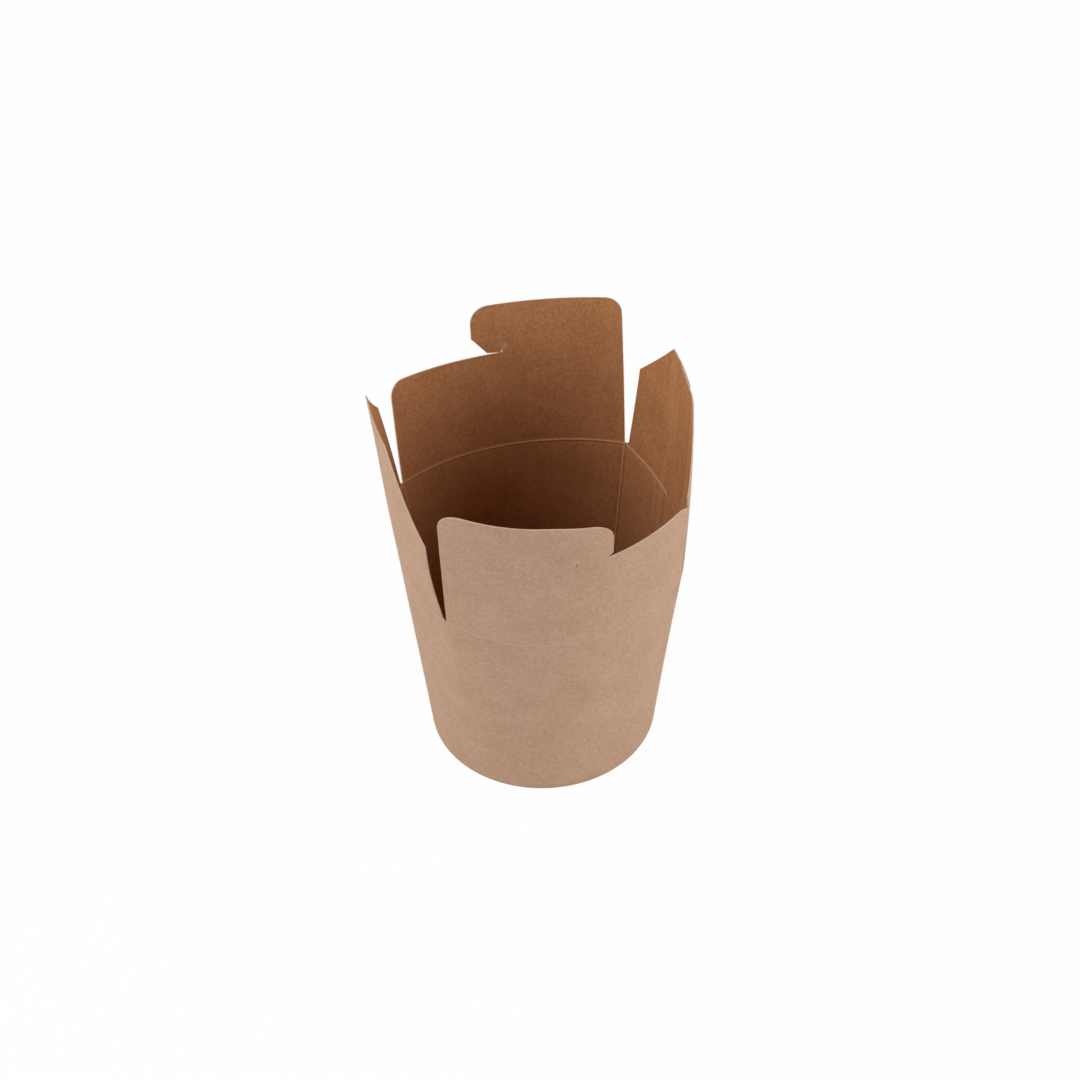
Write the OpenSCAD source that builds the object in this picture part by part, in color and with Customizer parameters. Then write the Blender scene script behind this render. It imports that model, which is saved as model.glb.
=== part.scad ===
// Kebab box of kraft card, open, with two hooked lock flaps and two tuck flaps.
// Millimetres. Origin at the middle of the standing edge, +Z up, front faces -Y.

/* [Box] */

// Outside diameter of the round base
base_d = 90; // [75:0.5:96]
// Height of the wall at the four corner scores
wall_h = 98.6; // [75:0.1:125]
// Width of the mouth between the corner scores, side to side
mouth_w = 90.6; // [82:0.1:102]
// Depth of the mouth between the corner scores, front to back
mouth_d = 79.6; // [74:0.1:92]
// Thickness of the card
board_t = 0.5; // [0.35:0.05:0.7]

/* [Creases] */

// How far the front and back creases bow out past the corner scores
lock_bow = 17.6; // [12:0.1:20]
// How far the side creases bow out past the corner scores
side_bow = 9.2; // [6:0.1:12]
// How far the front and back creases dip at their middle
lock_dip = 5.5; // [2:0.1:8]
// How far the side creases dip at their middle
side_dip = 2.4; // [1:0.1:5]
// Height of the raised bead along each score
score_h = 0.2; // [0.1:0.05:0.3]
// Width of each score
score_w = 1.5; // [1:0.1:2.5]
// Gap left in each crease for the flap to turn
crease_gap = 0.2; // [0.1:0.05:0.5]
// Gap left at each end of a lock flap, beside its corner
lock_gap = 0.3; // [0.2:0.1:1]
// Gap left at each end of a tuck flap, beside its corner
side_gap = 1.5; // [0.8:0.1:2.5]

/* [Lock flaps] */

// Height of the tab above the crease
tab_h = 66.9; // [58:0.1:74]
// Height of the shoulder beside the tab
shoulder_h = 44.8; // [38:0.1:48]
// How far the outer edge of the tab flares out at its top
tab_flare = 1.2; // [0:0.1:3]
// Corner radius of the tab on its outer side
tab_r = 5; // [2:0.5:9]
// Corner radius of the shoulder
shoulder_r = 6.5; // [2:0.5:9]
// How far the hook reaches past the middle of the flap
hook_reach = 11.9; // [8:0.1:14]
// Corner radius at the top of the hook
hook_r = 8; // [3:0.5:8]
// Width and height of the slanted cut under the hook
hook_chamfer = 4.5; // [2:0.5:7]
// Width of the slit between hook and shoulder
slit_w = 0.7; // [0.5:0.1:1.5]
// How far the nick at the root of the slit curls away from the hook
nick_reach = 2.8; // [2:0.1:5]
// How far the nick curls up above the shoulder
nick_rise = 3.2; // [2:0.1:6]
// How far the lock flaps lean out past the slope of the wall, in degrees
lock_lean = -1.6; // [-6:0.1:4]

/* [Side flaps] */

// Height of the side edges above the crease
side_edge_h = 39.4; // [30:0.1:46]
// Height of the flat top above the crease
side_top_h = 65.2; // [54:0.1:68]
// Width of the flat top
side_top_w = 33; // [25:0.5:50]
// How far the tuck flaps lean out past the slope of the wall, in degrees
side_lean = -1.5; // [-6:0.1:4]

/* [Seam] */

// Distance of the inner seam edge from the middle of the right panel
seam_at = 8; // [3:0.5:14]
// Width of the glued lap
lap_w = 12; // [8:0.5:16]
// Length over which the inner layer steps back beside the lap
lap_ramp = 6; // [4:0.5:10]

/* [Base] */

// Height of the recess under the base disc
base_up = 7; // [5:0.5:10]
// Height of the turned-in hem
hem_h = 6.3; // [4.5:0.1:9]
// Radius of the fold at the standing edge
fold_r = 0.45; // [0.3:0.05:0.6]
// Radius of the bend between base disc and skirt
skirt_bend = 1.2; // [0.8:0.1:2]
// Slack of the skirt in the hem channel
channel_slack = 0.25; // [0.15:0.05:0.6]
// Slack between the skirt and the wall
skirt_slack = 0.05; // [0.05:0.05:0.2]
// Height of the scores' lower ends above the base disc
score_clear = 2; // [1:0.5:6]

/* [Hidden] */

// Facet count of the base disc
$fn = 96;
// Node names of the part
// Node drawn, or all of them
// Colour of the card outside
kraft = [0.72, 0.57, 0.46];
// Colour of the card inside
kraft_dark = [0.58, 0.41, 0.28];

// Radius of the base
base_r = base_d / 2;
// Plan angle from the front to a corner score
corner_a = atan2(mouth_w, mouth_d);
// Plan radius of a corner
corner_r = norm([mouth_w, mouth_d]) / 2;
// Steepest and least outward slopes of the wall
slope_max = (corner_r - base_r) / wall_h;
slope_min = min((mouth_w / 2 + side_bow - base_r) / (wall_h - side_dip),
    (mouth_d / 2 + lock_bow - base_r) / (wall_h - lock_dip));
// Room for the skirt in the hem channel beyond its own thickness
channel_gap = channel_slack + (slope_max - slope_min) * base_up;
// Wall, skirt and hem together
hem_stack = 3 * board_t + channel_gap;
// Height at which the scores and the glued lap begin, above the base disc
lap_z = base_up + board_t + score_clear;
// Seam edges on the right panel, measured along the crease
seam_in = seam_at;
seam_out = seam_at - lap_w;
seam_ramp = seam_out - lap_ramp;
// Half width of the slanted step at a cut seam edge, and height of the step where the lap begins
cut = 0.04;
lap_step = 0.6;

// Panels in plan: 0 front, 1 right, 2 back, 3 left
function is_lock(k) = k % 2 == 0;
function half_c(k) = is_lock(k) ? mouth_w / 2 : mouth_d / 2;
function dist_c(k) = is_lock(k) ? mouth_d / 2 : mouth_w / 2;
function bow(k) = is_lock(k) ? lock_bow : side_bow;
function dip(k) = is_lock(k) ? lock_dip : side_dip;
function rad(k) = (half_c(k) * half_c(k) + bow(k) * bow(k)) / (2 * bow(k));
function ang(k) = asin(half_c(k) / rad(k));
function arc(k) = rad(k) * ang(k) * PI / 180;
function foot_a(k) = is_lock(k) ? corner_a : 90 - corner_a;
function foot_arc(k) = base_r * foot_a(k) * PI / 180;
function rho(k) = wall_h * arc(k) / (arc(k) - foot_arc(k));

// Plan direction at an angle from the front, and a point of a panel
function dir(a) = [sin(a), -cos(a), 0];
function place(k, s, o, z) = [s * cos(90 * k) + o * sin(90 * k), s * sin(90 * k) - o * cos(90 * k), z];
function mix(a, b, f) = a + (b - a) * f;
function unit(v) = v / norm(v);
function steps(a, b, n) = [for (i = [0 : n - 1]) mix(a, b, i / n)];

// Crease and foot of the wall at a length along the crease from the panel's middle
function turn_at(k, w) = w / arc(k) * ang(k);
function crease_o(k, w) = bow(k) - rad(k) * (1 - cos(turn_at(k, w)));
function crease(k, w) = place(k, rad(k) * sin(turn_at(k, w)), dist_c(k) + crease_o(k, w),
    wall_h - dip(k) * crease_o(k, w) / bow(k));
function foot_turn(k, w) = 90 * k + w / arc(k) * foot_a(k);
function foot(k, w) = base_r * dir(foot_turn(k, w));

// Outward plan angle of the wall at the crease; corners share the mean of two panels
function face_turn(k, w) = 90 * k + turn_at(k, w);
function corner_turn(k) = (face_turn(k - 1, arc(k - 1)) + face_turn(k, -arc(k))) / 2;

// Wall columns of a panel: the corner score first, then the scored edge and the face
function face_w(k) = k == 1 ?
    concat(steps(-arc(1) + score_w / 2, seam_ramp, 8), steps(seam_ramp, seam_out - cut, 3),
        [seam_out - cut, seam_out + cut], steps(seam_out + cut + 1, seam_in - cut, 4),
        [seam_in - cut, seam_in + cut], steps(seam_in + cut + 1, arc(1) - score_w / 2, 10),
        [arc(1) - score_w / 2]) :
    concat(steps(-arc(k) + score_w / 2, arc(k) - score_w / 2, is_lock(k) ? 30 : 24),
        [arc(k) - score_w / 2]);
// A column is its panel, its place along the crease, its outward angle and 1 at a corner
function panel_cols(k) = concat([[k, -arc(k), corner_turn(k), 1]],
    [for (w = face_w(k)) [k, w, face_turn(k, w), 0]]);
wall_cols = [for (k = [0 : 3]) each panel_cols(k)];

// Glued lap on the right panel: how far the outer and inner faces step in
function lap_out(k, w) = k == 1 && w > seam_ramp && w < seam_out ?
    board_t * (w - seam_ramp) / (seam_out - seam_ramp) : 0;
function lap_in(k, w) = k != 1 || w < seam_ramp || w > seam_in ? 0 :
    board_t * min(1, (w - seam_ramp) / (seam_out - seam_ramp));

// Point of the wall in a column, a depth into the card at a height
function wall_pt(c, e, z) = let (p = crease(c[0], c[1]), f = z / p[2],
    a = mix(foot_turn(c[0], c[1]), c[2], f)) mix(foot(c[0], c[1]), p, f) - e * dir(a);
function rim_z(c, e) = crease(c[0], c[1])[2] + e * dip(c[0]) / bow(c[0]);

// Section of the wall and hem in one column, as depths and heights
function wall_section(c) =
    let (top = rim_z(c, 0), o = lap_out(c[0], c[1]), i = board_t + lap_in(c[0], c[1]), s = c[3] * score_h) [
    [o + score_h / 2, top],
    [o + s / 2, top - score_w / 2],
    [o + s / 2, lap_z],
    [0, lap_z - lap_step],
    [0, fold_r],
    [fold_r, 0],
    [hem_stack - fold_r, 0],
    [hem_stack, fold_r],
    [hem_stack, hem_h],
    [hem_stack - board_t, hem_h],
    [hem_stack - board_t, board_t],
    [board_t, board_t],
    [board_t, lap_z - lap_step],
    [i + s, lap_z],
    [i + s, top - score_w],
    [i + score_h, top - score_w / 3],
    [i + score_h / 2, rim_z(c, i)]];

// Closed ring of sections, joined section to section
module ring(sections) {
    n = len(sections);
    m = len(sections[0]);
    points = [for (s = sections) each s];
    faces = [for (i = [0 : n - 1]) for (j = [0 : m - 1])
        let (a = i * m + j, b = i * m + (j + 1) % m,
            c = (i + 1) % n * m + (j + 1) % m, d = (i + 1) % n * m + j)
        each [[a, c, b], [a, d, c]]];
    polyhedron(points, faces, convexity = 10);
}

// Point of a flap: length along the crease, height above it, depth into the card
function lean(k) = is_lock(k) ? lock_lean : side_lean;
function flap_pt(k, x, y, e) =
    let (w = x * rho(k) / (rho(k) + y), p = crease(k, w), g = unit(p - foot(k, w)), o = dir(90 * k),
        out = g * o, up = g[2],
        turned = g + o * (out * (cos(lean(k)) - 1) + up * sin(lean(k)))
            + [0, 0, up * (cos(lean(k)) - 1) - out * sin(lean(k))])
    p + turned * y * sqrt(1 + pow(w / rho(k), 2))
        - e * (dir(face_turn(k, w)) - [0, 0, dip(k) / bow(k)]);

// Card sheet: two faces of triangles and the cut edge around them
module sheet(outer, inner, tris, loop) {
    n = len(outer);
    m = len(loop);
    edge = [for (i = [0 : m - 1]) let (a = loop[i], b = loop[(i + 1) % m])
        each [[a, b + n, a + n], [a, b, b + n]]];
    polyhedron(concat(outer, inner),
        concat([for (t = tris) [t[0], t[2], t[1]]], [for (t = tris) [t[0] + n, t[1] + n, t[2] + n]], edge),
        convexity = 10);
}

// Triangles of a strip between two rows of point numbers
function strip(lo, hi) = [for (i = [0 : len(lo) - 2])
    each [[lo[i], lo[i + 1], hi[i + 1]], [lo[i], hi[i + 1], hi[i]]]];
function backwards(v) = [for (i = [len(v) - 1 : -1 : 0]) v[i]];

// Lock flap outline. The nick curls up and away from the root of the slit
lock_w = arc(0) - lock_gap;
nick = [-nick_reach, shoulder_h + nick_rise];
// Where the curl of the nick meets the hook and the shoulder
root_hook = 0.1;
root_shoulder = -0.6;
slit_top = shoulder_h + slit_w;
// Places along the top of the tab, from its outer edge to the nick
tab_x = concat([for (a = [0 : 18 : 90]) -lock_w + tab_r * (1 - cos(a))],
    steps(-lock_w + tab_r + 3, nick[0], 11), [nick[0]]);
// Places along the hook, and along the shoulder to its outer edge
hook_x = concat([for (f = [0.35, 0.65, 0.85, 1]) mix(nick[0], root_hook, f)],
    steps(1.5, hook_reach - hook_chamfer, 4),
    [for (a = [0 : 18 : 90]) hook_reach - hook_chamfer * (1 - sin(a))]);
shoulder_x = concat([for (f = [0.3, 0.6, 0.8, 1]) mix(nick[0], root_shoulder, f)],
    steps(1.5, lock_w - shoulder_r, 13),
    [for (a = [0 : 15 : 90]) lock_w - shoulder_r * (1 - sin(a))]);

// Rounded drop at the end of a straight top edge
function corner_drop(x, end, r) = x < end - r ? 0 : r - sqrt(max(0, r * r - pow(x - end + r, 2)));
function tab_top(x) = tab_h - corner_drop(-x, lock_w, tab_r) - corner_drop(x, hook_reach, hook_r);
function hook_under(x) = x < root_hook ?
    mix(slit_top, nick[1], sqrt((root_hook - x) / (root_hook - nick[0]))) :
    slit_top + max(0, x - hook_reach + hook_chamfer);
function shoulder_top(x) = x < root_shoulder ?
    mix(shoulder_h, nick[1], pow((root_shoulder - x) / (root_shoulder - nick[0]), 0.7)) :
    shoulder_h - corner_drop(x, lock_w, shoulder_r);

// The tab's side of a lock flap widens towards the top
function flared(p) = p[0] < 0 ? [p[0] * (1 + tab_flare / lock_w * p[1] / tab_h), p[1]] : p;

// Rows of the lock flap: crease, middle line with shoulder, hook underside, top
lock_rows = [
    [for (x = concat(tab_x, shoulder_x)) [x, crease_gap]],
    concat([for (x = tab_x) [x, nick[1]]], [for (x = shoulder_x) [x, shoulder_top(x)]]),
    [for (x = hook_x) [x, hook_under(x)]],
    [for (x = concat(tab_x, hook_x)) [x, tab_top(x)]]];

// Lock flap on panel 0 or 2: a lower band across the panel and the tab above it
module lock_flap(k) {
    nt = len(tab_x);
    na = nt + len(shoulder_x);
    nh = len(hook_x);
    a = [for (i = [0 : na - 1]) i];
    b = [for (i = [0 : na - 1]) na + i];
    c = concat([for (i = [0 : nt - 1]) na + i], [for (i = [0 : nh - 1]) 2 * na + i]);
    d = [for (i = [0 : nt + nh - 1]) 2 * na + nh + i];
    hook = [for (i = [0 : nh - 1]) 2 * na + i];
    open_edge = backwards([for (i = [nt - 1 : na - 1]) na + i]);
    spots = [for (r = lock_rows) for (p = r) flared(p)];
    sheet([for (p = spots) flap_pt(k, p[0], p[1], 0)],
        [for (p = spots) flap_pt(k, p[0], p[1], board_t)],
        concat(strip(a, b), strip(c, d)), concat(a, open_edge, hook, backwards(d), [b[0]]));
}

// Tuck flap outline with two corners cut off
side_w = arc(1) - side_gap;
function side_top(x) = min(side_top_h,
    side_edge_h + (side_w - abs(x)) * (side_top_h - side_edge_h) / (side_w - side_top_w / 2));
// Places along a tuck flap; the seamed one has columns at both seam edges too
plain_x = concat(steps(-side_w, -side_top_w / 2, 7), steps(-side_top_w / 2, side_top_w / 2, 10),
    steps(side_top_w / 2, side_w, 7), [side_w]);
seamed_x = concat(steps(-side_w, -side_top_w / 2, 7), [-side_top_w / 2],
    steps(max(seam_ramp, 0.2 - side_top_w / 2), seam_out - cut, 3), [seam_out - cut, seam_out + cut],
    steps(seam_out + cut + 1, seam_in - cut, 4), [seam_in - cut, seam_in + cut],
    steps(seam_in + cut + 1, side_top_w / 2, 4), steps(side_top_w / 2, side_w, 7), [side_w]);

// Tuck flap on panel 1 or 3
module side_flap(k) {
    xs = k == 1 ? seamed_x : plain_x;
    n = len(xs);
    spots = concat([for (x = xs) [x, crease_gap]], [for (x = xs) [x, side_top(x)]]);
    lo = [for (i = [0 : n - 1]) i];
    hi = [for (i = [0 : n - 1]) n + i];
    sheet([for (p = spots) flap_pt(k, p[0], p[1], lap_out(k, p[0]))],
        [for (p = spots) flap_pt(k, p[0], p[1], board_t + lap_in(k, p[0]))],
        strip(lo, hi), concat(lo, backwards(hi)));
}

// Sub-parts
module sleeve() {
    color(kraft)
        ring([for (c = wall_cols) [for (s = wall_section(c)) wall_pt(c, s[0], s[1])]]);
}

module base_disc() {
    top = base_up + board_t;
    low = board_t + 4 * skirt_slack;
    rim = base_r - board_t - skirt_slack;
    edge = rim + slope_min * (base_up - skirt_bend);
    color(kraft_dark)
        rotate_extrude()
            polygon(concat([[0, base_up]],
                [for (a = [90 : -22.5 : 0]) [edge - board_t - skirt_bend * (1 - cos(a)),
                    base_up - skirt_bend * (1 - sin(a))]],
                [[rim + slope_min * low - board_t, low], [rim + slope_min * low, low]],
                [for (a = [0 : 22.5 : 90]) [edge - (skirt_bend + board_t) * (1 - cos(a)),
                    top - (skirt_bend + board_t) * (1 - sin(a))]],
                [[0, top]]));
}

module front_lock_flap() {
    color(kraft)
        lock_flap(0);
}

module back_lock_flap() {
    color(kraft)
        lock_flap(2);
}

module left_side_flap() {
    color(kraft)
        side_flap(3);
}

module right_side_flap() {
    color(kraft)
        side_flap(1);
}

sleeve();
base_disc();
front_lock_flap();
back_lock_flap();
left_side_flap();
right_side_flap();
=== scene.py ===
import math
from collections import namedtuple

import bpy
import numpy as np
from mathutils import Matrix, Vector


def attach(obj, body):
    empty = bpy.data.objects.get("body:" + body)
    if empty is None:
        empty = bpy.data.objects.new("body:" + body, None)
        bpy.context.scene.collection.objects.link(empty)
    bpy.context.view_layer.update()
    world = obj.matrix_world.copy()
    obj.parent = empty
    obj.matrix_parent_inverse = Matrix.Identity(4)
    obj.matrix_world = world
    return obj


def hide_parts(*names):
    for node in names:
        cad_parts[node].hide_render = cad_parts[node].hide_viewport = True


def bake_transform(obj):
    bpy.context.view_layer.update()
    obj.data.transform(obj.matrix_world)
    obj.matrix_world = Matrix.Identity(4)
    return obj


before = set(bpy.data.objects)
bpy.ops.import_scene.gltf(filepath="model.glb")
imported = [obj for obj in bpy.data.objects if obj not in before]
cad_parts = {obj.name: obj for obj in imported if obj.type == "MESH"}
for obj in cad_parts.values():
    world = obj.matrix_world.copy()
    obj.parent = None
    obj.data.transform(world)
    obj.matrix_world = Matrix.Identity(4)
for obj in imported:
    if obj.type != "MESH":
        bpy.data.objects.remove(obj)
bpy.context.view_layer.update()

# Sizes of the part in millimetres; pairs hold the lock panels' value and the side panels' value
MM = 0.001
BASE_R = 45.0
WALL_H = 98.6
MOUTH_W = 90.6
MOUTH_D = 79.6
CARD = 0.5
BOW = (17.6, 9.2)
DIP = (5.5, 2.4)
GAP = (0.3, 1.5)
TAB_H = 66.9
SHOULDER_H = 44.8
SHOULDER_R = 6.5
SIDE_TOP_H = 65.2
SEAM_IN = 8.0
SEAM_OUT = -4.0
SEAM_RAMP = -10.0
SEAM_CUT = 0.03
BASE_UP = 7.0
HEM_H = 6.3
CHANNEL_SLACK = 0.25
FOLD_R = 0.45
SKIRT_BEND = 1.2
SKIRT_SLACK = 0.05
SKIRT_LIFT = 4 * SKIRT_SLACK
SCORE_CLEAR = 2.0

LAP_Z = BASE_UP + CARD + SCORE_CLEAR
CORNER_A = math.atan2(MOUTH_W, MOUTH_D)
CORNER_R = math.hypot(MOUTH_W, MOUTH_D) / 2
SLOPE_MAX = (CORNER_R - BASE_R) / WALL_H
SLOPE_MIN = min(
    (MOUTH_W / 2 + BOW[1] - BASE_R) / (WALL_H - DIP[1]),
    (MOUTH_D / 2 + BOW[0] - BASE_R) / (WALL_H - DIP[0]),
)
HEM_STACK = 3 * CARD + CHANNEL_SLACK + (SLOPE_MAX - SLOPE_MIN) * BASE_UP

# How each flap of the real box stands: lean and twist in degrees, the share of its curve lost by the top,
# how much its left and right edges grow out by the top, and how far they belly out at half height
Stance = namedtuple("Stance", "lean twist flat grow belly")
STANCE = (
    Stance(lean=-1.0, twist=1.05, flat=0.03, grow=(1.7, -1.0), belly=(-0.2, -1.7)),
    Stance(lean=-2.1, twist=2.5, flat=-0.3, grow=(0.0, 0.0), belly=(0.7, 0.3)),
    Stance(lean=-2.5, twist=1.7, flat=0.2, grow=(-1.5, -2.5), belly=(0.0, 0.0)),
    Stance(lean=-1.5, twist=-3.0, flat=0.08, grow=(0.0, 0.0), belly=(-0.9, 2.5)),
)

# How each lock flap is cut: the shoulder rises from the middle to the outer end, the chamfer is the hook's
# cut-off corner, the slit has a width at its root and at its mouth, and its end turns up into the nick
LockCut = namedtuple(
    "LockCut",
    "tab_h shoulder_h shoulder_rise reach chamfer slit tab_r hook_r droop root"
    " nick_reach nick_rise nick_gap",
)
FRONT_CUT = LockCut(
    tab_h=TAB_H - 0.3,
    shoulder_h=SHOULDER_H - 1.6,
    shoulder_rise=4.2,
    reach=13.7,
    chamfer=(2.8, 2.4),
    slit=(0.05, 0.05),
    tab_r=9.5,
    hook_r=9.0,
    droop=2.8,
    root=0.0,
    nick_reach=0.5,
    nick_rise=3.0,
    nick_gap=0.35,
)
BACK_CUT = LockCut(
    tab_h=TAB_H,
    shoulder_h=SHOULDER_H - 0.6,
    shoulder_rise=0.0,
    reach=11.2,
    chamfer=(6.3, 7.8),
    slit=(0.15, 0.8),
    tab_r=6.5,
    hook_r=7.4,
    droop=0.0,
    root=-0.9,
    nick_reach=1.5,
    nick_rise=2.9,
    nick_gap=0.3,
)

# How each tuck flap is cut at its left and right: gap to the corner, height of the edge, end of the flat top
TuckCut = namedtuple("TuckCut", "gaps edge_h top_x")
RIGHT_CUT = TuckCut(gaps=(GAP[1], GAP[1] + 0.6), edge_h=(39.4, 38.4), top_x=(-15.5, 17.4))
LEFT_CUT = TuckCut(gaps=(GAP[1] + 0.7, GAP[1]), edge_h=(42.4, 39.8), top_x=(-21.7, 7.0))

# Panels are numbered 0 front, 1 right, 2 back, 3 left; a place is a length along the crease from its middle
SEAMED = 1
QUARTER_TURN = math.pi / 2


def half_chord(panel):
    return MOUTH_D / 2 if panel % 2 else MOUTH_W / 2


def chord_distance(panel):
    return MOUTH_W / 2 if panel % 2 else MOUTH_D / 2


def bow_radius(panel):
    bow = BOW[panel % 2]
    return (half_chord(panel) ** 2 + bow * bow) / (2 * bow)


def half_angle(panel):
    return math.asin(half_chord(panel) / bow_radius(panel))


def half_arc(panel):
    return bow_radius(panel) * half_angle(panel)


def foot_half_angle(panel):
    return QUARTER_TURN - CORNER_A if panel % 2 else CORNER_A


# Radius of the crease on the flat sheet, which is a part of a fan
def fan_radius(panel):
    return WALL_H * half_arc(panel) / (half_arc(panel) - BASE_R * foot_half_angle(panel))


# Direction out of the box at an angle from the front, and direction along a panel
def outward(angle):
    return np.array((math.sin(angle), -math.cos(angle), 0.0))


def along(panel):
    return np.array((math.cos(panel * QUARTER_TURN), math.sin(panel * QUARTER_TURN), 0.0))


def crease(panel, place):
    angle = place / half_arc(panel) * half_angle(panel)
    bulge = BOW[panel % 2] - bow_radius(panel) * (1 - math.cos(angle))
    point = outward(panel * QUARTER_TURN) * (chord_distance(panel) + bulge)
    point = point + along(panel) * bow_radius(panel) * math.sin(angle)
    point[2] = WALL_H - DIP[panel % 2] * bulge / BOW[panel % 2]
    return point


def foot_turn(panel, place):
    return panel * QUARTER_TURN + place / half_arc(panel) * foot_half_angle(panel)


def face_turn(panel, place):
    return panel * QUARTER_TURN + place / half_arc(panel) * half_angle(panel)


def smooth(x):
    x = min(1.0, max(0.0, x))
    return x * x * (3 - 2 * x)


# Places from a to b, without b, about a step apart
def spread(a, b, step):
    n = max(1, round((b - a) / step))
    return [a + (b - a) * i / n for i in range(n)]


# Angles of a quarter round, a step in degrees apart
def quarter(step):
    return np.radians(range(0, 91, step))


# Glued lap on the right panel: how far the outer and inner faces step in
def lap_out(panel, place):
    if panel != SEAMED or not SEAM_RAMP < place < SEAM_OUT:
        return 0.0
    return CARD * (place - SEAM_RAMP) / (SEAM_OUT - SEAM_RAMP)


def lap_in(panel, place):
    if panel != SEAMED or place < SEAM_RAMP or place > SEAM_IN:
        return 0.0
    return CARD * min(1.0, (place - SEAM_RAMP) / (SEAM_OUT - SEAM_RAMP))


# Columns of the seamed panel stand on both sides of each cut edge, and no other column stands close to them
SEAM_CLEAR = 0.3


def with_seam(places):
    marks = [SEAM_RAMP, SEAM_OUT - SEAM_CUT, SEAM_OUT + SEAM_CUT, SEAM_IN - SEAM_CUT, SEAM_IN + SEAM_CUT]
    return sorted([w for w in places if min(abs(w - mark) for mark in marks) > SEAM_CLEAR] + marks)


# Point of the wall at a height, a depth into the card
def wall_point(panel, place, turn, depth, height):
    top = crease(panel, place)
    share = height / top[2]
    angle = foot_turn(panel, place)
    foot = BASE_R * outward(angle)
    return foot + (top - foot) * share - depth * outward(angle + (turn - angle) * share)


# Point of a flap from its place x, y on the flat sheet, with y up from the crease, a depth into the card
def flap_point(panel, x, y, depth):
    stance = STANCE[panel]
    radius, half = fan_radius(panel), half_arc(panel)
    out, slant = outward(panel * QUARTER_TURN), DIP[panel % 2] / BOW[panel % 2]
    rise = y / SIDE_TOP_H
    x *= 1 + stance.grow[0 if x < 0 else 1] / half * rise
    place = x * radius / (radius + y)
    point = crease(panel, place)
    line = point - BASE_R * outward(foot_turn(panel, place))
    line /= np.linalg.norm(line)
    lean = math.radians(stance.lean + stance.twist * x / half)
    line_out, line_up = float(line @ out), line[2]
    line = line + out * (line_out * (math.cos(lean) - 1) + line_up * math.sin(lean))
    line[2] += line_up * (math.cos(lean) - 1) - line_out * math.sin(lean)
    point = point + line * y * math.sqrt(1 + (place / radius) ** 2)
    bent = half * (1 + y / radius) / half_angle(panel)
    flatter = bent / (1 - stance.flat * rise)
    shift = bent * (1 - math.cos(x / bent)) - flatter * (1 - math.cos(x / flatter))
    widen = flatter * math.sin(x / flatter) - bent * math.sin(x / bent)
    belly = (stance.belly[0] * (1 - x / half) + stance.belly[1] * (1 + x / half)) / 2
    belly *= math.sin(math.pi * min(1.0, rise))
    point = point + along(panel) * widen + out * shift
    point[2] -= slant * shift
    point += out * belly
    normal = outward(face_turn(panel, place))
    normal[2] -= slant
    return point - depth * normal


# Shader helpers
WHITE = (1, 1, 1, 1)
NOISE_LOW, NOISE_HIGH = 0.3, 0.7


def new_material(name):
    material = bpy.data.materials.new(name)
    material.use_nodes = True
    material.node_tree.nodes.clear()
    return material, material.node_tree.nodes, material.node_tree.links


def noise(nodes, links, coords, layer):
    mapping = nodes.new("ShaderNodeMapping")
    mapping.inputs["Scale"].default_value = layer.stretch
    links.new(coords, mapping.inputs["Vector"])
    texture = nodes.new("ShaderNodeTexNoise")
    texture.inputs["Scale"].default_value = layer.scale
    texture.inputs["Detail"].default_value = layer.detail
    texture.inputs["Roughness"].default_value = layer.rough
    links.new(mapping.outputs["Vector"], texture.inputs["Vector"])
    return texture.outputs["Fac"]


def span(nodes, links, value, low, high, start, end):
    ramp = nodes.new("ShaderNodeMapRange")
    ramp.inputs["From Min"].default_value = start
    ramp.inputs["From Max"].default_value = end
    ramp.inputs["To Min"].default_value = low
    ramp.inputs["To Max"].default_value = high
    links.new(value, ramp.inputs["Value"])
    return ramp.outputs["Result"]


def swing(nodes, links, value, reach):
    return span(nodes, links, value, -reach, reach, NOISE_LOW, NOISE_HIGH)


def math_node(nodes, links, operation, a, b):
    node = nodes.new("ShaderNodeMath")
    node.operation = operation
    links.new(a, node.inputs[0])
    if isinstance(b, float):
        node.inputs[1].default_value = b
    else:
        links.new(b, node.inputs[1])
    return node.outputs["Value"]


def mix_color(nodes, links, factor, a, b):
    mix = nodes.new("ShaderNodeMix")
    mix.data_type = "RGBA"
    links.new(factor, mix.inputs["Factor"])
    for key, color in (("A", a), ("B", b)):
        if isinstance(color, tuple):
            mix.inputs[key].default_value = color
        else:
            links.new(color, mix.inputs[key])
    return mix.outputs["Result"]


def attribute(nodes, name):
    node = nodes.new("ShaderNodeAttribute")
    node.attribute_name = name
    return node.outputs["Fac"]


# Layers of the card's texture, and how far each one swings between the dark and the light colour
Layer = namedtuple("Layer", "scale detail rough stretch reach")
CLOUD = Layer(scale=70, detail=3, rough=0.6, stretch=(1, 1, 1), reach=0.25)
FLECK = Layer(scale=700, detail=4, rough=0.7, stretch=(1, 1, 1), reach=0.55)
FIBRE = Layer(scale=1500, detail=2, rough=0.6, stretch=(1, 1, 0.4), reach=0.3)
STREAK = Layer(scale=260, detail=3, rough=0.6, stretch=(1, 1, 0.03), reach=0.8)
HALFWAY = 0.5
CARD_ROUGHNESS = 0.82
CARD_SPECULAR = 0.12
BUMP_STRENGTH = 0.15
BUMP_DEPTH = 0.2 * MM

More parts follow.
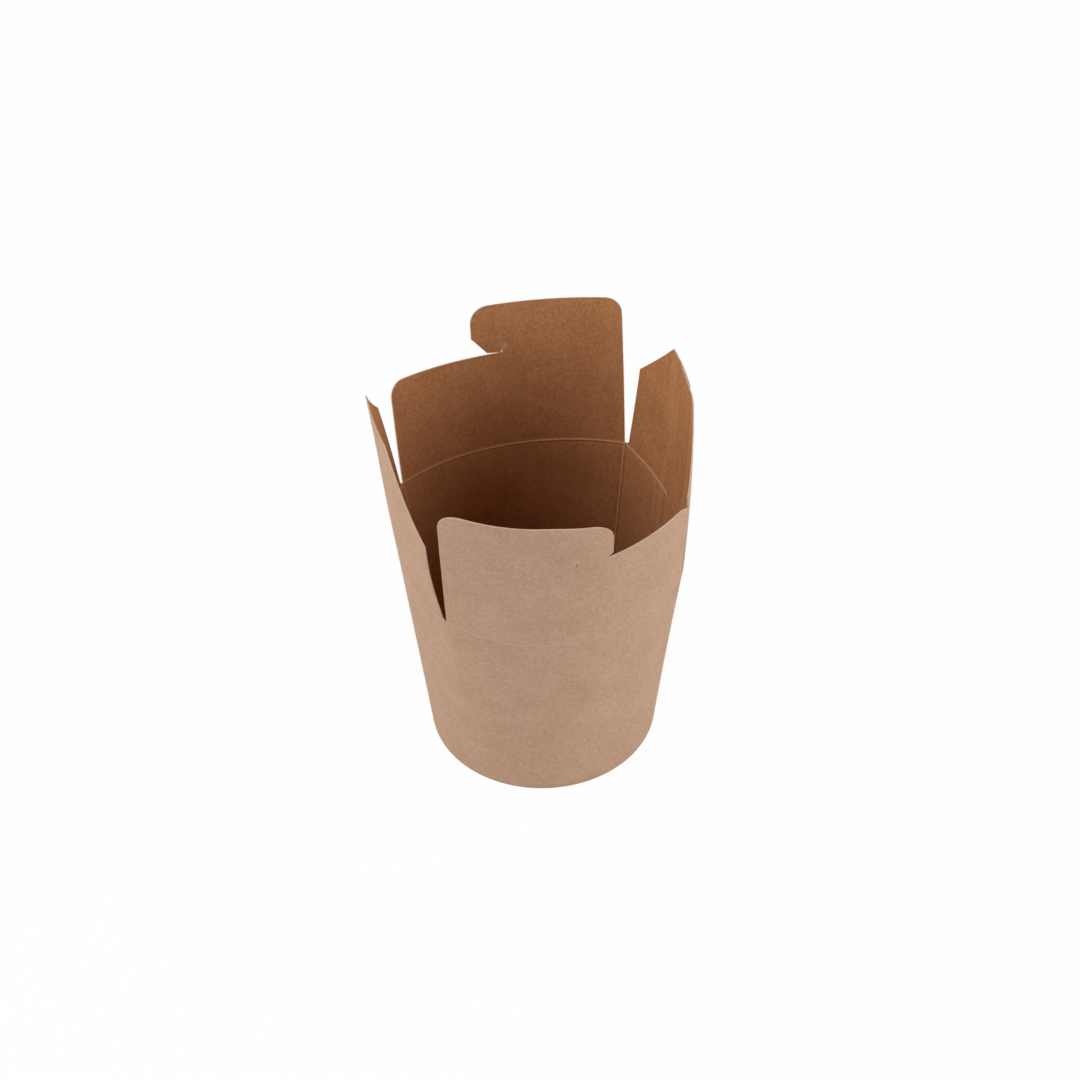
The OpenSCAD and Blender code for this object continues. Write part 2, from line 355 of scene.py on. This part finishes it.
# Colours of each face of the card (dark, light, and the painted highlight on its scores), the strength of
# its mottle and of that painted highlight line
Look = namedtuple("Look", "dark light rubbed mottle line")
OUTSIDE_LOOK = Look((0.427, 0.265, 0.178, 1), (0.506, 0.329, 0.23, 1), (0.57, 0.4, 0.29, 1), 1.15, 0.7)
INSIDE_LOOK = Look((0.373, 0.161, 0.064, 1), (0.475, 0.22, 0.096, 1), (0.64, 0.36, 0.18, 1), 1.3, 0.85)
EDGE_LOOK = Look((0.53, 0.36, 0.26, 1), (0.61, 0.43, 0.32, 1), (0.61, 0.43, 0.32, 1), 0.8, 0.0)


# Kraft card: mottled fibre, streaked grain where asked, and a painted highlight lightening each of the
# scores
def kraft(name, look):
    material, nodes, links = new_material(name)
    coords = nodes.new("ShaderNodeTexCoord").outputs["Object"]
    fleck = noise(nodes, links, coords, FLECK)
    clouded = swing(nodes, links, noise(nodes, links, coords, CLOUD), CLOUD.reach * look.mottle)
    flecked = swing(nodes, links, fleck, FLECK.reach * look.mottle)
    fibrous = swing(nodes, links, noise(nodes, links, coords, FIBRE), FIBRE.reach * look.mottle)
    streaky = swing(nodes, links, noise(nodes, links, coords, STREAK), STREAK.reach)
    streaky = math_node(nodes, links, "MULTIPLY", streaky, attribute(nodes, "grain"))
    share = math_node(nodes, links, "ADD", math_node(nodes, links, "ADD", clouded, flecked), HALFWAY)
    share = math_node(nodes, links, "ADD", share, math_node(nodes, links, "ADD", fibrous, streaky))
    # Painted highlight: the colour is lightened along the scored beads and grooves, the lap's inner edge and
    # the spots, where light would catch them
    rubbed = math_node(nodes, links, "MULTIPLY", attribute(nodes, "score"), look.line)
    mottled = mix_color(nodes, links, share, look.dark, look.light)
    color = mix_color(nodes, links, rubbed, mottled, look.rubbed)
    shader = nodes.new("ShaderNodeBsdfPrincipled")
    shader.inputs["Roughness"].default_value = CARD_ROUGHNESS
    shader.inputs["Specular IOR Level"].default_value = CARD_SPECULAR
    links.new(color, shader.inputs["Base Color"])
    bump = nodes.new("ShaderNodeBump")
    bump.inputs["Strength"].default_value = BUMP_STRENGTH
    bump.inputs["Distance"].default_value = BUMP_DEPTH
    links.new(fleck, bump.inputs["Height"])
    links.new(bump.outputs["Normal"], shader.inputs["Normal"])
    output = nodes.new("ShaderNodeOutputMaterial")
    links.new(shader.outputs["BSDF"], output.inputs["Surface"])
    return material


OUTSIDE, INSIDE, EDGE = 0, 1, 2
CARD_LOOKS = (
    kraft("kraft outside", OUTSIDE_LOOK),
    kraft("kraft inside", INSIDE_LOOK),
    kraft("kraft cut edge", EDGE_LOOK),
)

# Mesh of one piece of card: points in millimetres, faces with a material number, and named values per point
SHARP_ANGLE = math.radians(35)


def make(name, points, faces, materials, marks):
    mesh = bpy.data.meshes.new(name)
    mesh.from_pydata([tuple(point * MM) for point in points], [], faces)
    for look in CARD_LOOKS:
        mesh.materials.append(look)
    mesh.polygons.foreach_set("material_index", materials)
    mesh.polygons.foreach_set("use_smooth", [True] * len(faces))
    for label, values in marks.items():
        mesh.attributes.new(label, "FLOAT", "POINT").data.foreach_set("value", values)
    mesh.update()
    mesh.validate()
    mesh.set_sharp_from_angle(angle=SHARP_ANGLE)
    piece = bpy.data.objects.new(name, mesh)
    bpy.context.collection.objects.link(piece)
    return piece


# Sections of the scores: distance from the scored line, width and height. Grooves go in on the outside,
# beads stand out on the inside with a groove at their foot, and the lines and spot are painted highlight
# that lightens the colour
Rise = namedtuple("Rise", "off width height")
RIM_GROOVE = Rise(0.8, 0.4, 0.25)
RIM_BEAD = Rise(0.45, 0.36, 0.28)
RIM_BEAD_FOOT = Rise(1.3, 0.4, 0.16)
RIM_HIGHLIGHT_OUTSIDE = Rise(0.0, 0.5, 0.5)
RIM_HIGHLIGHT_INSIDE = Rise(0.4, 0.36, 1.0)
CORNER_GROOVE = Rise(0.7, 0.4, 0.2)
CORNER_BEAD = Rise(0.0, 0.36, 0.36)
CORNER_BEAD_FOOT = Rise(1.1, 0.4, 0.2)
CORNER_HIGHLIGHT_OUTSIDE = Rise(0.0, 0.45, 0.5)
CORNER_HIGHLIGHT_INSIDE = Rise(0.0, 0.4, 1.0)
FLAP_HIGHLIGHT = Rise(0.0, 0.4, 0.4)
PAINTED_HIGHLIGHT_SPOT = Rise(0.0, 0.9, 1.0)
# Painted highlight along the inner edge of the glued lap
SEAM_HIGHLIGHT = 0.6
SCORE_FADE = 8.0


def ridge(distance, rise):
    return rise.height * math.exp(-(((distance - rise.off) / rise.width) ** 2))


# Strength of the grain on even card, on the base and in the streaks by the seam, which reach past it on the
# wall and fade out to an end on the flap
EVEN = 0.12
BASE_GRAIN = 0.1
STREAKED = 0.9
STREAK_REACH = 14.0
STREAK_END = 24.0
STREAK_FADE = 10.0

# Wall: one section swept round the box, with columns closer at the corners and rows closer at the rim
WALL_STEP = 1.25
CORNER_ZONE = 3.4
CORNER_BLEND = 1.4
CORNER_COLUMNS = (0.2, 0.4, 0.6, 0.8, 1.05, 1.4, 1.9, 2.6)
RIM_ROWS = (0, 0.15, 0.3, 0.45, 0.6, 0.8, 1.0, 1.25, 1.6, 2.2, 3.5, 6, 10, 16, 24, 34, 46, 60, 74)
RIM_ROWS_CLEAR = 1.5
LAP_STEP = 0.6
FOOT_ROWS = (6.0, 2.5)
FOLD_DEGREES = 30


# Each column's panel, place, direction of the card's depth at the rim, and distance from the corner
def wall_columns():
    columns = []
    for panel in range(4):
        half = half_arc(panel)
        before = (face_turn(panel - 1, half_arc(panel - 1)) + face_turn(panel, -half)) / 2
        after = (face_turn(panel, half) + face_turn(panel + 1, -half_arc(panel + 1))) / 2
        face = spread(-half + CORNER_ZONE, half - CORNER_ZONE, WALL_STEP) + [half - CORNER_ZONE]
        face = with_seam(face) if panel == SEAMED else face
        left = [-half] + [near - half for near in CORNER_COLUMNS]
        right = [half - near for near in reversed(CORNER_COLUMNS)]
        for place in left + face + right:
            far = half - abs(place)
            own = face_turn(panel, place)
            corner = before if place < 0 else after
            turn = own + (corner - own) * max(0.0, 1 - far / CORNER_BLEND)
            columns.append((panel, place, turn, far))
    return columns


def wall_rows(top):
    rows = [top - down for down in RIM_ROWS if top - down > LAP_Z + RIM_ROWS_CLEAR]
    return rows + [LAP_Z + LAP_STEP, LAP_Z]


# Section of the wall and hem in one column: depth, height, material, painted highlight and grain
def wall_section(panel, place, far):
    top = crease(panel, place)[2]
    seamed = panel == SEAMED
    beaded = 0.0 if seamed and place < SEAM_IN else 1.0
    grain = STREAKED if seamed and place < SEAM_IN + STREAK_REACH else EVEN
    section = []
    for height in wall_rows(top):
        down = top - height
        fade = smooth((height - LAP_Z) / SCORE_FADE)
        depth = lap_out(panel, place) * (height > LAP_Z)
        depth += ridge(down, RIM_GROOVE) + ridge(far, CORNER_GROOVE) * fade
        # Painted highlight along the rim's groove and the corner's groove on the outside
        score = max(ridge(down, RIM_HIGHLIGHT_OUTSIDE), ridge(far, CORNER_HIGHLIGHT_OUTSIDE) * fade)
        section.append((depth, height, OUTSIDE, score, 0))
    section += [(0, height, OUTSIDE, 0, 0) for height in FOOT_ROWS]
    fold = [(FOLD_R * (1 - math.cos(a)), FOLD_R * (1 - math.sin(a))) for a in quarter(FOLD_DEGREES)]
    section += [(depth, height, OUTSIDE, 0, 0) for depth, height in fold]
    section += [(HEM_STACK - depth, height, OUTSIDE, 0, 0) for depth, height in reversed(fold)]
    section += [(HEM_STACK, HEM_H, EDGE, 0, 0), (HEM_STACK - CARD, HEM_H, INSIDE, 0, 0)]
    section += [(HEM_STACK - CARD, CARD, INSIDE, 0, 0), (CARD, CARD, INSIDE, 0, 0)]
    for height in reversed(wall_rows(top)):
        down = top - height
        fade = smooth((height - LAP_Z) / SCORE_FADE)
        depth = CARD + lap_in(panel, place) * (height > LAP_Z)
        depth += (ridge(down, RIM_BEAD) - ridge(down, RIM_BEAD_FOOT)) * beaded
        depth += (ridge(far, CORNER_BEAD) - ridge(far, CORNER_BEAD_FOOT)) * fade
        # Painted highlight along the rim's bead, the corner's bead and the lap's inner edge on the inside
        score = max(ridge(down, RIM_HIGHLIGHT_INSIDE) * beaded, ridge(far, CORNER_HIGHLIGHT_INSIDE) * fade)
        if seamed and abs(place - SEAM_IN) < 2 * SEAM_CUT:
            score = max(score, SEAM_HIGHLIGHT * fade)
        lift = depth * DIP[panel % 2] / BOW[panel % 2] if down == 0 else 0.0
        section.append((depth, height + lift, INSIDE if down > 0 else EDGE, score, grain))
    return section


def sleeve():
    columns = wall_columns()
    points, faces, materials = [], [], []
    marks = {"score": [], "grain": []}
    for i, (panel, place, turn, far) in enumerate(columns):
        section = wall_section(panel, place, far)
        rows = len(section)
        own, after = i * rows, (i + 1) % len(columns) * rows
        for j, (depth, height, material, score, grain) in enumerate(section):
            up = (j + 1) % rows
            points.append(wall_point(panel, place, turn, depth, height))
            faces.append((own + j, own + up, after + up, after + j))
            materials.append(material)
            marks["score"].append(score)
            marks["grain"].append(grain)
    return make("wrapped_wall", points, faces, materials, marks)


# Base disc with its turned-down skirt, turned round the axis
BASE_RINGS = (42.0, 38.0, 26.0, 12.0)
BASE_SIDES = 120
SKIRT_DEGREES = 15


def base():
    top, low = BASE_UP + CARD, CARD + SKIRT_LIFT
    rim = BASE_R - CARD - SKIRT_SLACK
    lip = rim + SLOPE_MIN * (BASE_UP - SKIRT_BEND)
    hem = rim + SLOPE_MIN * low
    over, under = SKIRT_BEND + CARD, SKIRT_BEND
    bend = quarter(SKIRT_DEGREES)
    line = [(r, top) for r in reversed(BASE_RINGS)]
    line += [(lip - over * (1 - math.cos(a)), top - over * (1 - math.sin(a))) for a in reversed(bend)]
    line += [(hem, low), (hem - CARD, low)]
    line += [(lip - CARD - under * (1 - math.cos(a)), BASE_UP - under * (1 - math.sin(a))) for a in bend]
    line += [(r, BASE_UP) for r in BASE_RINGS]
    inside_rows = len(BASE_RINGS) + len(bend)
    rows = len(line)
    points = [np.array((0.0, 0.0, top)), np.array((0.0, 0.0, BASE_UP))]
    centres = len(points)
    faces, materials = [], []
    for i in range(BASE_SIDES):
        angle = 2 * math.pi * i / BASE_SIDES
        points += [np.array((r * math.sin(angle), -r * math.cos(angle), z)) for r, z in line]
        own, after = centres + i * rows, centres + (i + 1) % BASE_SIDES * rows
        faces += [(0, own, after), (own + rows - 1, 1, after + rows - 1)]
        materials += [INSIDE, OUTSIDE]
        for j in range(rows - 1):
            faces.append((own + j, own + j + 1, after + j + 1, after + j))
            materials.append(INSIDE if j < inside_rows else OUTSIDE)
    marks = {"score": [0.0] * len(points), "grain": [BASE_GRAIN] * len(points)}
    return make("base_disc_card", points, faces, materials, marks)


# Card flap from spots on the flat sheet, the faces between them, the cut edge around them and the centre of
# a painted highlight spot
def flap(name, panel, spots, quads, loop, grain, rubbed):
    outer = [flap_point(panel, x, y, lap_out(panel, x)) for x, y in spots]
    inner = [flap_point(panel, x, y, CARD + lap_in(panel, x)) for x, y in spots]
    n = len(spots)
    faces = quads + [tuple(n + v for v in reversed(quad)) for quad in quads]
    materials = [OUTSIDE] * len(quads) + [INSIDE] * len(quads)
    for a, b in zip(loop, loop[1:] + loop[:1]):
        faces.append((a, n + a, n + b, b))
        materials.append(EDGE)
    # Painted highlight along the crease and in a spot round the given centre
    score = [max(ridge(y, FLAP_HIGHLIGHT), ridge(math.dist((x, y), rubbed), PAINTED_HIGHLIGHT_SPOT)) for x, y in spots]
    marks = {"score": score * 2, "grain": [0.0] * n + [grain(x) for x, _ in spots]}
    return make(name, outer + inner, faces, materials, marks)


def streaked(x):
    return STREAKED * smooth((STREAK_END - x) / STREAK_FADE)


def even(x):
    return EVEN


# Grid of spots: columns at places along the crease, with rows at heights above it and then evenly to the top
CREASE_ROWS = [0, 0.12, 0.3, 0.55, 0.9, 1.4, 2.2, 3.2, 4.5, 6, 7.5, 9, 10.5, 12, 13.5, 15, 17, 19, 21]
TOP_ROWS = 12
FOOT_ZONE = 3.0


# One column; near the flap's end its foot widens into the round end of the cut between two flaps
def column(x, top, half, gap):
    last = CREASE_ROWS[-1]
    high = [last + (top - last) * i / TOP_ROWS for i in range(1, TOP_ROWS + 1)]
    spots = []
    for y in CREASE_ROWS + high:
        low = 1 - min(1.0, y / gap)
        foot = gap * (1 - math.sqrt(1 - low * low)) * smooth((abs(x) - half + FOOT_ZONE) / FOOT_ZONE)
        spots.append((x + math.copysign(foot, x), y))
    return spots


# Adds a column's spots to the others and gives their numbers
def add(spots, new):
    start = len(spots)
    spots.extend(new)
    return list(range(start, len(spots)))


def between(columns):
    pairs = zip(columns, columns[1:])
    return [(a[j], b[j], b[j + 1], a[j + 1]) for a, b in pairs for j in range(len(a) - 1)]


# Lock flap: a lower band across the panel and the hooked tab above it, with a slit between them that starts
# at its root, turns up into a nick and opens towards the hook's cut-off corner
LOCK_W = half_arc(0) - GAP[0]
LOCK_STEP = 1.4
HOOK_STEP = 0.8
SHOULDER_START = 0.5
NICK_STEP = 0.4
NICK_ZONE = 2.0
NICK_COLUMNS = (0.25, 0.5, 0.7, 0.85, 0.95, 1.0)
TAB_ROWS = (0, 0.02, 0.04, 0.07, 0.11, 0.18, 0.3, 0.45, 0.6, 0.75, 0.88, 1)
DROOP_HALF = 12.0
ROUND_DEGREES = 9
ROUND = quarter(ROUND_DEGREES)


# How far a rounded corner that ends at a place drops below the straight edge
def drop(x, end, radius):
    if x < end - radius:
        return 0.0
    return radius - math.sqrt(max(0.0, radius * radius - (x - end + radius) ** 2))


def lock_flap(name, panel, cut):
    def shoulder_line(x):
        return cut.shoulder_h + cut.shoulder_rise * x / LOCK_W

    root_h = shoulder_line(cut.root)
    nick = (cut.root - cut.nick_reach, root_h + cut.nick_rise)
    hook_h = root_h + cut.slit[0]
    slant = cut.reach - cut.chamfer[0]
    low_root = cut.root - cut.nick_gap

    def tab_top(x):
        corners = drop(-x, LOCK_W, cut.tab_r) + drop(x, cut.reach, cut.hook_r)
        return cut.tab_h - corners - cut.droop * smooth((x + DROOP_HALF) / (2 * DROOP_HALF))

    def hook_under(x):
        if x < cut.root:
            return hook_h + (nick[1] - hook_h) * math.sqrt((cut.root - x) / cut.nick_reach)
        off = cut.chamfer[1] * max(0.0, x - slant) / cut.chamfer[0]
        wide = cut.slit[0] + (cut.slit[1] - cut.slit[0]) * min(1.0, (x - cut.root) / (slant - cut.root))
        return shoulder_line(x) + wide + off

    def shoulder_top(x):
        if x < low_root:
            return root_h + cut.nick_rise * math.sqrt((low_root - x) / (low_root - nick[0]))
        return shoulder_line(max(x, cut.root)) - drop(x, LOCK_W, SHOULDER_R)

    tab_x = [-LOCK_W + cut.tab_r * (1 - math.cos(a)) for a in ROUND]
    tab_x += spread(-LOCK_W + cut.tab_r + LOCK_STEP, nick[0] - NICK_ZONE, LOCK_STEP)
    tab_x += spread(nick[0] - NICK_ZONE, nick[0], NICK_STEP) + [nick[0]]
    hook_x = [nick[0] + cut.nick_reach * share for share in NICK_COLUMNS]
    hook_x += spread(cut.root + HOOK_STEP, slant, HOOK_STEP)
    hook_x += [cut.reach - cut.chamfer[0] * (1 - math.sin(a)) for a in ROUND]
    shoulder_x = [nick[0] + (low_root - nick[0]) * share for share in NICK_COLUMNS]
    shoulder_x += spread(cut.root + SHOULDER_START, LOCK_W - SHOULDER_R, LOCK_STEP)
    shoulder_x += [LOCK_W - SHOULDER_R * (1 - math.sin(a)) for a in ROUND]
    n = len(tab_x)
    spots, low, high = [], [], []
    for i, x in enumerate(tab_x + shoulder_x):
        top = nick[1] if i < n else shoulder_top(x)
        low.append(add(spots, column(x, top, LOCK_W, GAP[0])))
    for i, x in enumerate(tab_x + hook_x):
        start = nick[1] if i < n else hook_under(x)
        new = [(x, start + (tab_top(x) - start) * share) for share in TAB_ROWS]
        shared = [low[i][-1]] if i < n else []
        high.append(shared + add(spots, new[len(shared):]))
    loop = [line[0] for line in low] + low[-1][1:] + [line[-1] for line in reversed(low[n - 1:-1])]
    loop += [line[0] for line in high[n:]] + high[-1][1:] + [line[-1] for line in reversed(high[:-1])]
    loop += list(reversed(high[0][1:-1])) + list(reversed(low[0][1:]))
    return flap(name, panel, spots, between(low) + between(high), loop, even, nick)


# Tuck flap: two corners cut off, each from its own height to its own place on the flat top
SIDE_STEP = 1.3
CREASE_MIDDLE = (0.0, 0.0)


def side_flap(name, panel, cut, grain):
    ends = (cut.gaps[0] - half_arc(panel), half_arc(panel) - cut.gaps[1])
    left, right = cut.top_x
    places = spread(ends[0], left, SIDE_STEP) + spread(left, right, SIDE_STEP)
    places += spread(right, ends[1], SIDE_STEP) + [ends[1]]
    places = with_seam(places) if panel == SEAMED else places
    spots, columns = [], []
    for x in places:
        top = SIDE_TOP_H
        if x < left:
            top -= (SIDE_TOP_H - cut.edge_h[0]) * (left - x) / (left - ends[0])
        if x > right:
            top -= (SIDE_TOP_H - cut.edge_h[1]) * (x - right) / (ends[1] - right)
        i = 0 if x < 0 else 1
        columns.append(add(spots, column(x, top, abs(ends[i]), cut.gaps[i])))
    loop = [line[0] for line in columns] + columns[-1][1:] + [line[-1] for line in reversed(columns[:-1])]
    loop += list(reversed(columns[0][1:-1]))
    return flap(name, panel, spots, between(columns), loop, grain, CREASE_MIDDLE)


# Pieces in place of the CAD parts, which are hidden; the wall and base go on the box's body
def settle(node):
    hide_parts(node)


for piece, node, slot in ((sleeve(), "sleeve", "kraft_card"), (base(), "base_disc", "base_card")):
    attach(piece, "box")
    settle(node)

# Each flap's card is built in place from the wall's crease; its transform is applied and its CAD part hidden
FLAPS = (
    lock_flap("front_lock_card", 0, FRONT_CUT),
    side_flap("right_tuck_card", 1, RIGHT_CUT, streaked),
    lock_flap("back_lock_card", 2, BACK_CUT),
    side_flap("left_tuck_card", 3, LEFT_CUT, even),
)
NODES = ("front_lock_flap", "right_side_flap", "back_lock_flap", "left_side_flap")
BODIES = ("front_flap", "right_flap", "back_flap", "left_flap")
for panel, (piece, node, body) in enumerate(zip(FLAPS, NODES, BODIES)):
    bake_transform(piece)
    settle(node)


# White to the camera and in reflections by a share, the given shader to all other light
def seen_white(nodes, links, share, shader, output):
    path = nodes.new("ShaderNodeLightPath").outputs
    seen = math_node(nodes, links, "MAXIMUM", path["Is Camera Ray"], path["Is Glossy Ray"])
    seen = math_node(nodes, links, "MAXIMUM", seen, path["Is Transmission Ray"])
    white = nodes.new("ShaderNodeEmission" if "Material" in output.bl_idname else "ShaderNodeBackground")
    white.inputs["Color"].default_value = WHITE
    white.inputs["Strength"].default_value = 1.0
    mix = nodes.new("ShaderNodeMixShader")
    links.new(math_node(nodes, links, "MULTIPLY", seen, share), mix.inputs["Fac"])
    links.new(shader, mix.inputs[1])
    links.new(white.outputs[0], mix.inputs[2])
    links.new(mix.outputs["Shader"], output.inputs["Surface"])


# Floor, white with a trace of the box's shadow; sizes in metres from here on
FLOOR_Z, FLOOR_R = -0.0002, 6
FLOOR_COLOR = (0.9, 0.9, 0.9, 1)
FLOOR_WHITE = 0.96
floor_look, nodes, links = new_material("floor")
soft = nodes.new("ShaderNodeBsdfDiffuse")
soft.inputs["Color"].default_value = FLOOR_COLOR
seen_white(nodes, links, FLOOR_WHITE, soft.outputs["BSDF"], nodes.new("ShaderNodeOutputMaterial"))
mesh = bpy.data.meshes.new("floor")
corners = [(x * FLOOR_R, y * FLOOR_R, FLOOR_Z) for x, y in ((-1, -1), (1, -1), (1, 1), (-1, 1))]
mesh.from_pydata(corners, [], [(0, 1, 2, 3)])
mesh.materials.append(floor_look)
floor = bpy.data.objects.new("floor", mesh)
bpy.context.collection.objects.link(floor)

# White room, darker overhead: its light fades between two values of the direction's upward part
ROOM_LOW, ROOM_HIGH = 1.34, 0.03
ROOM_FADE = (0.05, 0.62)
ROOM_WHITE = 1.0
world = bpy.data.worlds.new("room")
bpy.context.scene.world = world
world.use_nodes = True
nodes, links = world.node_tree.nodes, world.node_tree.links
nodes.clear()
split = nodes.new("ShaderNodeSeparateXYZ")
links.new(nodes.new("ShaderNodeTexCoord").outputs["Generated"], split.inputs["Vector"])
room = nodes.new("ShaderNodeBackground")
room.inputs["Color"].default_value = WHITE
strength = span(nodes, links, split.outputs["Z"], ROOM_LOW, ROOM_HIGH, *ROOM_FADE)
links.new(strength, room.inputs["Strength"])
seen_white(nodes, links, ROOM_WHITE, room.outputs["Background"], nodes.new("ShaderNodeOutputWorld"))

# Soft lamps, each at a plan angle from the front and a height angle in degrees, aimed at the box
LAMP_SIZE = 0.9
LAMP_DISTANCE = 1.2
LAMP_AIM = Vector((0, 0, 0.1))


def softbox(name, turn, height, power):
    light = bpy.data.lights.new(name, "AREA")
    light.shape = "SQUARE"
    light.size = LAMP_SIZE
    light.energy = power
    lamp = bpy.data.objects.new(name, light)
    turn, height = math.radians(turn), math.radians(height)
    level = math.cos(height)
    way = Vector((math.sin(turn) * level, -math.cos(turn) * level, math.sin(height)))
    lamp.location = LAMP_AIM + way * LAMP_DISTANCE
    lamp.rotation_euler = (-way).to_track_quat("-Z", "Y").to_euler()
    bpy.context.collection.objects.link(lamp)


softbox("left softbox", turn=-95, height=46, power=10.5)
softbox("right softbox", turn=65, height=27, power=8.4)
softbox("front fill", turn=-5, height=12, power=1.2)

# Camera at the photograph's angle, from the fitted distance and lens
CAM_TURN, CAM_HEIGHT, CAM_ROLL = math.radians(-12.832), math.radians(43.72), math.radians(-1.553)
FOCAL_PX, PHOTO_PX, SENSOR_MM = 2927.86, 1080, 36
CAM_AIM, CAM_DISTANCE = Vector((0.0004, 0, 0.0929)), 1.125
CLIP_NEAR, CLIP_FAR = 0.05, 50
turn = Matrix.Rotation(CAM_TURN, 3, "Z")
back = turn @ Vector((0, -math.cos(CAM_HEIGHT), math.sin(CAM_HEIGHT)))
level = turn @ Vector((1, 0, 0))
steep = back.cross(level)
right = level * math.cos(CAM_ROLL) + steep * math.sin(CAM_ROLL)
up = steep * math.cos(CAM_ROLL) - level * math.sin(CAM_ROLL)
lens = bpy.data.cameras.new("camera")
lens.sensor_width = SENSOR_MM
lens.lens = FOCAL_PX / PHOTO_PX * SENSOR_MM
lens.clip_start = CLIP_NEAR
lens.clip_end = CLIP_FAR
camera = bpy.data.objects.new("camera", lens)
camera.matrix_world = Matrix((right, up, back)).transposed().to_4x4()
camera.location = turn @ CAM_AIM + back * CAM_DISTANCE
bpy.context.collection.objects.link(camera)
bpy.context.scene.camera = camera
bpy.context.scene.view_settings.view_transform = "Standard"
